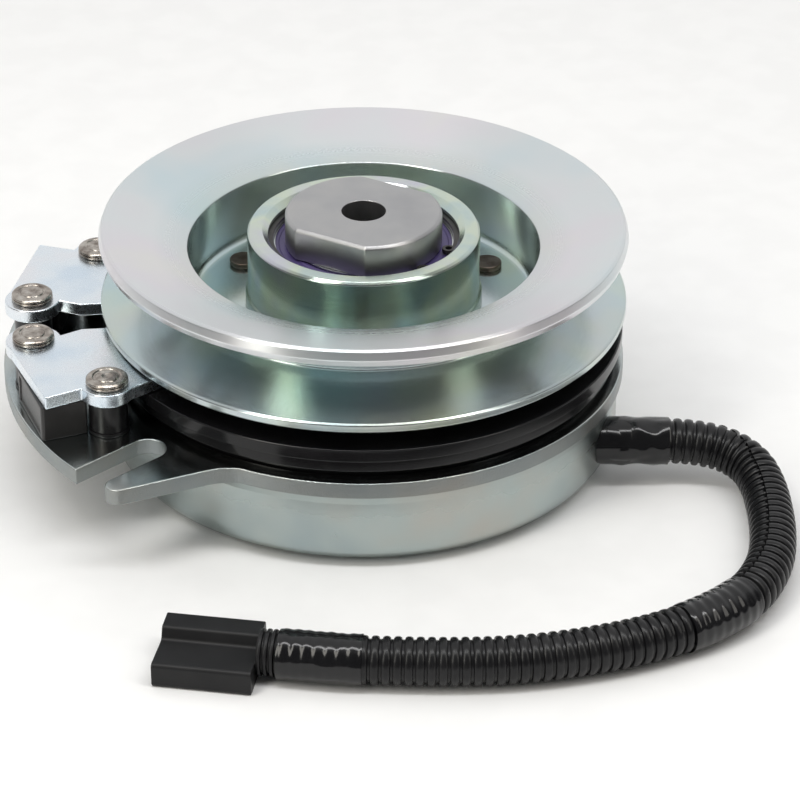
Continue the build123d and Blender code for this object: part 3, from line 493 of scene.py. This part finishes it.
# ------------------------------------------------------------------ studio
@dataclass
class Studio:
    """Camera, pale floor and soft lights."""

    eye: tuple[float, float, float] = (-84.85, -881.2, 536.1)
    turn_deg: float = -5.5
    tilt_deg: float = 27.72
    aim_right: float = 0.010426
    aim_down: float = 0.051526
    lens: float = 156.45

    def build(self) -> None:
        """Make the camera, the floor, the world and the lights."""
        bpy.context.scene.view_settings.view_transform = "Standard"
        self.camera()
        self.floor()
        self.world()
        self.light("top_strip", (-0.03, -0.30, 1.12), (0, 0, 0.05), (1.3, 0.14), 5.6)
        self.light("left_box", (-0.77, -0.64, 0.84), (0, 0, 0.05), (0.30, 1.1), 5.6,
                   (1.0, 0.97, 0.89))
        self.light("right_box", (0.80, -0.58, 0.84), (0, 0, 0.05), (0.32, 1.1), 2.8,
                   (1.0, 0.97, 0.90))

    def camera(self) -> None:
        """Make the camera at the measured viewpoint."""
        turn, tilt = math.radians(self.turn_deg), math.radians(self.tilt_deg)
        right = Vector((math.cos(turn), math.sin(turn), 0))
        ahead = Vector((-math.sin(turn) * math.cos(tilt), math.cos(turn) * math.cos(tilt), -math.sin(tilt)))
        up = right.cross(ahead)
        view = (ahead + right * self.aim_right - up * self.aim_down).normalized()
        data = bpy.data.cameras.new("camera")
        data.lens = self.lens
        data.sensor_width = 36.0
        data.clip_start = 0.01
        camera = bpy.data.objects.new("camera", data)
        side = view.cross(up).normalized()
        turned = Matrix((side, side.cross(view), -view)).transposed().to_4x4()
        camera.matrix_world = Matrix.Translation(Vector(self.eye) * MM) @ turned
        bpy.context.scene.collection.objects.link(camera)
        bpy.context.scene.camera = camera

    def floor(self) -> None:
        """Make the pale floor."""
        bm = bmesh.new()
        bmesh.ops.create_grid(bm, x_segments=1, y_segments=1, size=6.0)
        mesh = bpy.data.meshes.new("floor")
        bm.to_mesh(mesh)
        bm.free()
        floor = bpy.data.objects.new("floor", mesh)
        bpy.context.scene.collection.objects.link(floor)
        graph = Graph("floor_paint")
        speck = graph.noise(graph.place(), 60.0)
        graph.feed(graph.shader, {"Base Color": graph.ramp(speck, ((0.4, (0.90, 0.90, 0.90)),
                                                                   (0.6, (0.92, 0.92, 0.92)))), "Roughness": 0.8})
        mesh.materials.append(graph.material)

    def world(self) -> None:
        """Light the room: bright above and behind, dark in front."""
        world = bpy.data.worlds.new("room")
        world.use_nodes = True
        tree = world.node_tree
        place = tree.nodes.new("ShaderNodeTexCoord")
        slope = tree.nodes.new("ShaderNodeVectorMath")
        slope.operation = "DOT_PRODUCT"
        slope.inputs[1].default_value = (0.0, 0.78, 0.62)
        ramp = tree.nodes.new("ShaderNodeValToRGB")
        tree.links.new(place.outputs["Generated"], slope.inputs[0])
        tree.links.new(slope.outputs["Value"], ramp.inputs[0])
        tree.links.new(ramp.outputs[0], tree.nodes["Background"].inputs[0])
        stops = ((0.08, 0.10), (0.30, 0.30), (0.55, 0.82), (0.85, 0.90))
        while len(ramp.color_ramp.elements) < len(stops):
            ramp.color_ramp.elements.new(0.5)
        for element, (position, level) in zip(ramp.color_ramp.elements, stops):
            element.position = position
            element.color = (level, level, level, 1)
        bpy.context.scene.world = world

    def light(self, name: str, place: Corner, aim: Corner, size: tuple[float, float], power: float,
              colour: Colour = (1.0, 1.0, 1.0)) -> None:
        """Make one soft light.

        Args:
            name: the light's name.
            place: where it stands, in metres.
            aim: what it points at.
            size: its width and height.
            power: its power in watts.
            colour: its colour.
        """
        data = bpy.data.lights.new(name, "AREA")
        data.shape = "RECTANGLE"
        data.size, data.size_y = size
        data.energy = power
        data.color = colour
        lamp = bpy.data.objects.new(name, data)
        lamp.location = place
        lamp.rotation_euler = (Vector(aim) - Vector(place)).to_track_quat("-Z", "Y").to_euler()
        bpy.context.scene.collection.objects.link(lamp)


# ------------------------------------------------------------------ lead
ROUTE = [
    (74.2, -33.3, 13.0), (83.6, -34.1, 12.9), (93.0, -34.9, 12.2), (102.0, -37.0, 10.6), (108.3, -43.2, 8.6),
    (110.0, -53.0, 7.3), (109.5, -64.5, 7.0), (107.9, -78.2, 7.0), (104.1, -93.1, 7.0), (95.6, -107.5, 7.0),
    (82.4, -117.7, 7.0), (66.5, -124.9, 7.0), (48.5, -129.4, 7.0), (29.5, -131.6, 7.0), (11.0, -130.8, 7.0),
    (-3.5, -128.9, 7.0), (-14.2, -127.2, 7.0), (-24.2, -125.05, 7.0), (-34.45, -122.3, 7.0),
]


class Line:
    """The lead's centre line, read from its NURBS spline."""

    def __init__(self) -> None:
        """Make the spline from the route and read its points."""
        data = bpy.data.curves.new("lead_line", "CURVE")
        data.dimensions = "3D"
        data.resolution_u = 12
        spline = data.splines.new("NURBS")
        spline.points.add(len(ROUTE) - 1)
        for point, place in zip(spline.points, ROUTE):
            point.co = (*(value * MM for value in place), 1.0)
        spline.order_u = 3
        spline.use_endpoint_u = True
        holder = bpy.data.objects.new("lead_line", data)
        mesh = bpy.data.meshes.new_from_object(holder)
        self.points = [vertex.co / MM for vertex in mesh.vertices]
        bpy.data.objects.remove(holder)
        self.stations = [0.0]
        for one, other in zip(self.points, self.points[1:]):
            self.stations.append(self.stations[-1] + (other - one).length)
        self.length = self.stations[-1]
        self.frames = self.carry_frames()

    def carry_frames(self) -> list[tuple[Vector, Vector]]:
        """Carry a side direction along the line without twist.

        Returns:
            The forward and side directions at each point.
        """
        frames = []
        side = Vector((0, 0, 1))
        for index in range(len(self.points)):
            before = self.points[max(index - 1, 0)]
            after = self.points[min(index + 1, len(self.points) - 1)]
            ahead = (after - before).normalized()
            side = (side - ahead * side.dot(ahead)).normalized()
            frames.append((ahead, side))
        return frames

    def at(self, station: float) -> tuple[Vector, Vector, Vector]:
        """Return the place and the forward and side directions at a distance along the line."""
        index = 0
        while index < len(self.stations) - 2 and self.stations[index + 1] < station:
            index += 1
        share = (station - self.stations[index]) / (self.stations[index + 1] - self.stations[index])
        place = self.points[index].lerp(self.points[index + 1], share)
        ahead = self.frames[index][0].lerp(self.frames[index + 1][0], min(max(share, 0), 1)).normalized()
        side = self.frames[index][1].lerp(self.frames[index + 1][1], min(max(share, 0), 1)).normalized()
        return place, ahead, side

    def bend(self, bm: bmesh.types.BMesh) -> bmesh.types.BMesh:
        """Lay a straight mesh, built along Z, onto the line.

        Args:
            bm: the mesh; a vertex's Z is its distance along the line.

        Returns:
            The same mesh.
        """
        stations: dict[float, tuple[Vector, Vector, Vector]] = {}
        for vert in bm.verts:
            key = round(vert.co.z, 4)
            if key not in stations:
                stations[key] = self.at(vert.co.z)
            place, ahead, side = stations[key]
            vert.co = place + side * vert.co.x + ahead.cross(side) * vert.co.y
        bmesh.ops.recalc_face_normals(bm, faces=bm.faces[:])
        return bm


@dataclass
class Lead:
    """Split conduit with shrink sleeves, from the bush in the cup wall to the plug."""

    ridge_r: float = 6.6
    groove_depth: float = 0.85
    pitch: float = 3.0
    ridge_share: float = 0.66
    bore_r: float = 4.6
    facets: int = 72
    slit_deg: float = 28.0
    slit_depth: float = 1.0
    slit_twist: float = -85.0
    sleeve_r: float = 6.98
    sleeve_bore_r: float = 6.62
    sleeve_dip: float = 0.22
    exit_sleeve: float = 11.0
    exit_tuck: float = 7.6
    middle_sleeve_at: float = 107.0
    middle_sleeve: float = 22.0
    end_sleeve: float = 22.5

    def build(self) -> None:
        line = Line()
        conduit = self.conduit(line)
        exit_wrap = self.sleeve(line, "exit_shrink", -self.exit_tuck, self.exit_sleeve, 0.5, "exit_sleeve")
        wraps = [
            exit_wrap,
            self.sleeve(line, "middle_shrink", self.middle_sleeve_at, self.middle_sleeve_at + self.middle_sleeve,
                        0.15, "middle_sleeve"),
            self.sleeve(line, "end_shrink", line.length - self.end_sleeve, line.length - 0.02, 0.15, "end_sleeve"),
        ]
        LOG.info("lead %.1f mm", line.length)
        plug = finish_piece(eased("plug_housing", 0.3), "plug_body", Body.FIELD, PLUG_PLASTIC, "plug_housing")
        finish_piece(eased("lead_bush", 0.25), "bush_rubber", Body.FIELD, SHRINK_FILM, "lead_bush")

    def conduit(self, line: Line) -> bpy.types.Object:
        """Make the corrugated conduit with its slit.

        Args:
            line: the lead's centre line.

        Returns:
            The conduit.
        """
        low_r = self.ridge_r - self.groove_depth
        ridge = self.pitch * self.ridge_share
        ramp = self.pitch * 0.07
        profile = [(self.bore_r, 0.0, 0.0)]
        station = 0.0
        while station + self.pitch < line.length:
            start = station + (self.pitch - ridge) / 2
            profile.append((low_r, station, 0.0))
            profile.append((low_r, start - ramp, 0.0))
            for share, drop in ((0.0, 0.30), (0.16, 0.09), (0.36, 0.0), (0.64, 0.0), (0.84, 0.09), (1.0, 0.30)):
                profile.append((self.ridge_r - drop, start + ridge * share, 0.0))
            profile.append((low_r, start + ridge + ramp, 0.0))
            station += self.pitch
        profile.append((low_r, line.length - 0.01, 0.0))
        profile += self.bore(self.bore_r, line.length - 0.01, 0.0)[:-1]
        tube = spun(profile, self.facets)
        step = math.tau / self.facets
        middle = math.radians(self.slit_deg)
        for vert in tube.verts:
            radius = math.hypot(vert.co.x, vert.co.y)
            angle = math.atan2(vert.co.y, vert.co.x)
            away = (angle - middle + math.pi) % math.tau - math.pi
            if radius > low_r - 0.1 and abs(away) < 1.4 * step:
                near = abs(away) < 0.5 * step
                new_angle = middle + (0.0 if near else math.copysign(0.22 * step, away))
                new_radius = low_r - self.slit_depth * 0.6 if near else radius
                vert.co.x, vert.co.y = new_radius * math.cos(new_angle), new_radius * math.sin(new_angle)
        for vert in tube.verts:
            early = min(max((vert.co.z - 12.0) / 30.0, 0.0), 1.0)
            hidden = self.slit_twist * (1 - early * early * (3 - 2 * early))
            vert.co.xy = Matrix.Rotation(math.radians(hidden), 2) @ vert.co.xy
        return finish_piece(line.bend(tube), "conduit", Body.FIELD, CONDUIT_PLASTIC, "lead_conduit")

    def bore(self, radius: float, high: float, low: float) -> list[Corner]:
        """Return the profile points of a bore, from its far end back to its near end."""
        steps = max(2, round((high - low) / self.pitch))
        return [(radius, high + (low - high) * index / steps, 0.0) for index in range(steps + 1)]

    def sleeve(self, line: Line, name: str, low: float, high: float, ripple: float, node: str) -> bpy.types.Object:
        """Make a shrink sleeve that shows the ridges under it.

        Args:
            line: the lead's centre line.
            name: the piece's name.
            low: where it starts along the line.
            high: where it ends.
            ripple: depth of its creases.
            node: the CAD node that it stands for.

        Returns:
            The sleeve.
        """
        steps = int((high - low) / 0.3)
        profile = [(self.sleeve_bore_r, low, 0.0)]
        for index in range(steps + 1):
            station = low + (high - low) * index / steps
            crest = 0.5 + 0.5 * math.cos(math.tau * (station / self.pitch - 0.5)) if low > 0 else 1.0
            lip = 0.12 if index in (0, steps) else 0.0
            profile.append((self.sleeve_r - self.sleeve_dip * (1 - crest) - lip, station, 0.0))
        profile += self.bore(self.sleeve_bore_r, high, low)[:-1]
        tube = spun(profile, self.facets)
        for vert in tube.verts:
            radius = math.hypot(vert.co.x, vert.co.y)
            if radius > self.sleeve_bore_r + 0.02:
                crease = noise.noise(Vector((vert.co.x * 0.3, vert.co.y * 0.3, vert.co.z * 0.22)))
                taut = 0.5 - 0.5 * vert.co.x / radius
                grown = radius + (self.sleeve_r - radius) * taut + ripple * crease
                vert.co.x *= grown / radius
                vert.co.y *= grown / radius
        return finish_piece(line.bend(tube), name, Body.FIELD, SHRINK_FILM, node)


# ------------------------------------------------------------------ pulley
@dataclass
class Pulley:
    """Turned V pulley, its bearing housing, snap ring, seal and rivets."""

    lower_rim: float = 3.4
    groove: float = 18.2
    groove_deg: float = 17.0
    groove_floor_r: float = 57.0
    rim_land: float = 1.7
    rim_bevel: float = 1.3
    dish_r: float = 50.7
    dish_drop: float = 7.0
    web_rise: float = 0.6
    web_t: float = 4.0
    web_step_r: float = 56.0

    def build(self) -> None:
        """Make each piece of the pulley."""
        self.wheel()
        self.housing()
        finish_piece(eased("retaining_ring", 0.18), "snap_ring", Body.PULLEY, RING_BLACK, "retaining_ring")
        self.seal()
        finish_piece(eased("pulley_rivets", 0.35, 3), "web_rivets", Body.PULLEY, DARK_RIVET, "pulley_rivets")

    def wheel(self) -> None:
        """Spin the wheel: dished face, bevelled rims, V groove, recess and web."""
        low, high = box_mm("pulley")
        rim_r, web_low, top = high.x, low.z, high.z
        web_top = web_low + self.web_t
        rim_low = web_top - self.web_rise
        groove_low = rim_low + self.lower_rim
        groove_top = groove_low + self.groove
        taper = (rim_r - self.groove_floor_r) * math.tan(math.radians(self.groove_deg))
        spigot_r = box_mm("bearing_housing")[1].x - 1.3
        bevel = self.rim_bevel
        wheel = spun([
            (spigot_r, web_low, 0.3), (self.web_step_r, web_low, 0.6), (self.web_step_r + 2.0, rim_low, 0.6),
            (rim_r - bevel, rim_low, 0.4), (rim_r, rim_low + bevel * 0.9, 0.5), (rim_r, groove_low - 0.5, 0.5),
            (rim_r - 0.6, groove_low, 0.3),
            (self.groove_floor_r, groove_low + taper, 1.0), (self.groove_floor_r, groove_top - taper, 1.0),
            (rim_r - 0.5, groove_top - 0.1, 0.3), (rim_r, groove_top + 1.7, 0.9), (rim_r - 0.8, top - 0.55, 0.6),
            (rim_r - self.rim_land, top, 0.4), (self.dish_r, top - self.dish_drop, 0.6), (self.dish_r, web_top, 2.5),
            (spigot_r, web_top, 0.2),
        ], 320)
        finish_piece(wheel, "pulley_wheel", Body.PULLEY, TURNED_ZINC, "pulley")

    def housing(self) -> None:
        """Spin the bearing housing with its collar, lead-in and ring groove."""
        low, high = box_mm("bearing_housing")
        race_low, race_high = box_mm("bearing_outer_race")
        collar_r, web_low, top = high.x, low.z, high.z
        wall_r, race_r = collar_r - 0.7, race_high.x
        web_top = web_low + self.web_t
        housing = spun([
            (race_r - 2.4, web_low, 0.2), (wall_r - 0.6, web_low, 0.3), (wall_r - 0.6, web_top, 0.0),
            (collar_r, web_top, 0.3), (collar_r, web_top + 3.8, 0.4), (wall_r, web_top + 4.5, 0.4),
            (wall_r, top - 0.9, 0.8), (wall_r - 0.9, top, 0.6), (race_r + 1.8, top, 0.5), (race_r, top - 1.8, 0.4),
            (race_r, race_high.z + 1.6, 0.1), (race_r + 1.1, race_high.z + 1.6, 0.1), (race_r + 1.1, race_high.z, 0.1),
            (race_r, race_high.z, 0.1), (race_r, race_low.z, 0.1), (race_r - 2.4, race_low.z, 0.2),
        ])
        finish_piece(housing, "bearing_tube", Body.PULLEY, HOUSING_ZINC, "bearing_housing")

    def seal(self) -> None:
        """Spin the moulded seal with its raised bead and thin lip."""
        low, high = box_mm("seal_top")
        outer, inner = high.x, box_mm("bearing_inner_race")[1].x + 0.2
        seal = spun([
            (inner, low.z, 0.1), (outer, low.z, 0.1), (outer, high.z, 0.2), (outer - 0.9, high.z, 0.15),
            (outer - 1.2, high.z - 0.3, 0.1), (inner + 1.3, high.z - 0.3, 0.15), (inner + 0.9, high.z - 0.05, 0.15),
            (inner, high.z - 0.15, 0.15),
        ])
        finish_piece(seal, "seal_moulding", Body.PULLEY, SEAL_RUBBER, "seal_top")


@dataclass
class Springs:
    """Leaf springs that carry the armature and bend as it is pulled in."""

    count: int = 3
    circle_out: float = 7.3
    start_deg: float = 23.0
    step_deg: float = 50.0
    head_r: float = 5.5
    cuts: int = 24

    def build(self) -> None:
        """Make each spring, held by the pulley at one end and by the armature at the other."""
        radius = box_mm("bearing_housing")[1].x + self.circle_out
        low, high = box_mm("leaf_springs")
        for number in range(self.count):
            first = math.radians(self.start_deg) + number * math.tau / self.count
            second = first + math.radians(self.step_deg)
            held, free = (Vector((radius * math.cos(angle), radius * math.sin(angle), (low.z + high.z) / 2))
                          for angle in (first, second))
            bm = eased("leaf_springs", 0.1, 1)
            middle = (first + second) / 2
            others = [v for v in bm.verts
                      if abs((math.atan2(v.co.y, v.co.x) - middle + math.pi) % math.tau - math.pi) > math.pi / self.count]
            bmesh.ops.delete(bm, geom=others, context="VERTS")
            inset = (free - held).normalized() * self.head_r
            for cut in range(self.cuts + 1):
                bmesh.ops.bisect_plane(bm, geom=bm.verts[:] + bm.edges[:] + bm.faces[:], dist=1e-4,
                                       plane_co=(held + inset).lerp(free - inset, cut / self.cuts),
                                       plane_no=inset)
            spring = finish_piece(bm, f"leaf_spring_{number + 1}", None, SPRING_STEEL, "leaf_springs")
            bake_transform(spring)


# ------------------------------------------------------------------ field and torque arm
@dataclass
class Field:
    """Drawn cup with the torque plate, and the rotating black iron above it."""

    wall: float = 3.0
    floor: float = 4.0
    corner: float = 9.0
    flare: float = 0.9

    def build(self) -> None:
        """Make the cup, the torque plate, the rotor and the armature."""
        self.cup()
        finish_piece(eased("torque_plate", 0.45, 3), "torque_arm", Body.FIELD, ARM_ZINC, "torque_plate")
        finish_piece(eased("rotor", 0.45, 3), "rotor_iron", Body.ROTOR, BLACK_IRON, "rotor")
        finish_piece(eased("armature", 0.45, 3), "armature_iron", Body.ARMATURE, BLACK_IRON, "armature")
        finish_piece(eased("drive_hub", 0.3, 3, FLAT_ANGLE), "hub_boss", Body.ROTOR, HUB_STEEL, "drive_hub")

    def cup(self) -> None:
        """Spin the cup, with its large foot radius and the flare under the flange."""
        low, high = box_mm("field_cup")
        radius, top = high.x, high.z
        eye_r = box_mm("field_bearing_outer")[1].x - 3.0
        cup = spun([
            (eye_r, 0.0, 0.4), (radius, 0.0, self.corner), (radius, top - 2.5, 1.5), (radius + self.flare, top, 0.0),
            (radius - self.wall, top, 0.2), (radius - self.wall, self.floor, self.corner - self.wall),
            (eye_r, self.floor, 0.4),
        ], 320)
        finish_piece(cup, "cup_shell", Body.FIELD, CUP_ZINC, "field_cup")


# ------------------------------------------------------------------ brake
@dataclass
class Brake:
    """Pole plates, magnet blocks, rivets, spacers and washers."""

    head_r: float = 6.0
    head_h: float = 2.3
    foot_h: float = 1.6
    panel_inset: float = 1.3
    panel_depth: float = 0.35

    def build(self) -> None:
        """Make each piece of the brake."""
        for side in ("front", "rear"):
            finish_piece(eased("brake_plate_" + side, 0.5, 3), "pole_plate_" + side, Body.FIELD, PLATE_ZINC,
                         "brake_plate_" + side)
            self.magnet(side)
        finish_piece(eased("brake_spacers", 0.3), "spacer_tubes", Body.FIELD, BLACK_PAINT, "brake_spacers")
        finish_piece(eased("brake_washers", 0.2), "foot_washers", Body.FIELD, BLACK_PAINT, "brake_washers")
        self.rivets()

    def magnet(self, side: str) -> None:
        """Copy a magnet block and sink a panel in its outer face."""
        block = eased("brake_block_" + side, 0.4)
        for face in list(block.faces):
            outward = face.normal.dot(face.calc_center_median().normalized())
            if face.calc_area() > 200 and abs(face.normal.z) < 0.3 and outward > 0.6:
                bmesh.ops.inset_individual(block, faces=[face], thickness=self.panel_inset, depth=0.0)
                bmesh.ops.inset_individual(block, faces=[face], thickness=0.25, depth=-self.panel_depth)
        finish_piece(block, "magnet_" + side, Body.FIELD, FERRITE, "brake_block_" + side)

    def rivets(self) -> None:
        """Spin one rivet, with a rolled head and an upset foot, and set four."""
        low, high = box_mm("brake_rivets")
        plate_low, under = low.z + self.foot_h, high.z - self.head_h
        head, top = self.head_r, high.z
        bm = bmesh.new()
        for node in ("front", "rear"):
            for spot in self.spots(node):
                one = spun([
                    (0.0, low.z, 0.0), (4.4, low.z, 0.6), (5.2, low.z + 0.7, 0.3), (5.0, plate_low, 0.0),
                    (3.0, plate_low, 0.0), (3.0, under, 0.0), (head - 0.7, under, 0.1), (head, under + 0.4, 0.2),
                    (head, under + 0.85, 0.2), (head - 0.5, under + 1.0, 0.1), (head - 0.5, under + 1.2, 0.1),
                    (head - 0.05, under + 1.35, 0.2), (head - 0.1, top - 0.55, 0.4), (head - 0.75, top - 0.08, 0.4), (head - 1.9, top - 0.02, 0.2),
                    (head - 2.15, top - 0.3, 0.12), (head - 2.65, top - 0.3, 0.12), (head - 2.9, top, 0.2),
                    (1.5, top + 0.05, 0.3), (1.0, top - 0.2, 0.3), (0.0, top - 0.25, 0.0),
                ], 96, closed=False)
                bmesh.ops.translate(one, vec=spot, verts=one.verts[:])
                mesh = bpy.data.meshes.new("one_rivet")
                one.to_mesh(mesh)
                one.free()
                bm.from_mesh(mesh)
                bpy.data.meshes.remove(mesh)
        finish_piece(bm, "plate_rivets", Body.FIELD, RIVET_NICKEL, "brake_rivets")

    def spots(self, side: str) -> list[Vector]:
        """Return the two rivet places of one plate, mirrored for the rear one."""
        turned = -1 if side == "rear" else 1
        places = []
        for radius, degrees in ((96.7, 187.2), (85.2, 207.1)):
            angle = math.radians(180 + turned * (degrees - 180))
            places.append(Vector((radius * math.cos(angle), radius * math.sin(angle), 0)))
        return places


def dress_cad() -> None:
    """Give the CAD nodes that stay in view their finishes."""
    for node, finish in CAD_FINISHES.items():
        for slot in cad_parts[node].material_slots:
            slot.link = "OBJECT"
            slot.material = finish.material()


def main() -> None:
    """Build the studio, then each sub-assembly."""
    logging.basicConfig(level=logging.INFO, format="%(message)s")
    Studio().build()
    Lead().build()
    Pulley().build()
    Springs().build()
    Field().build()
    Brake().build()
    dress_cad()


if __name__ == "__main__":
    main()
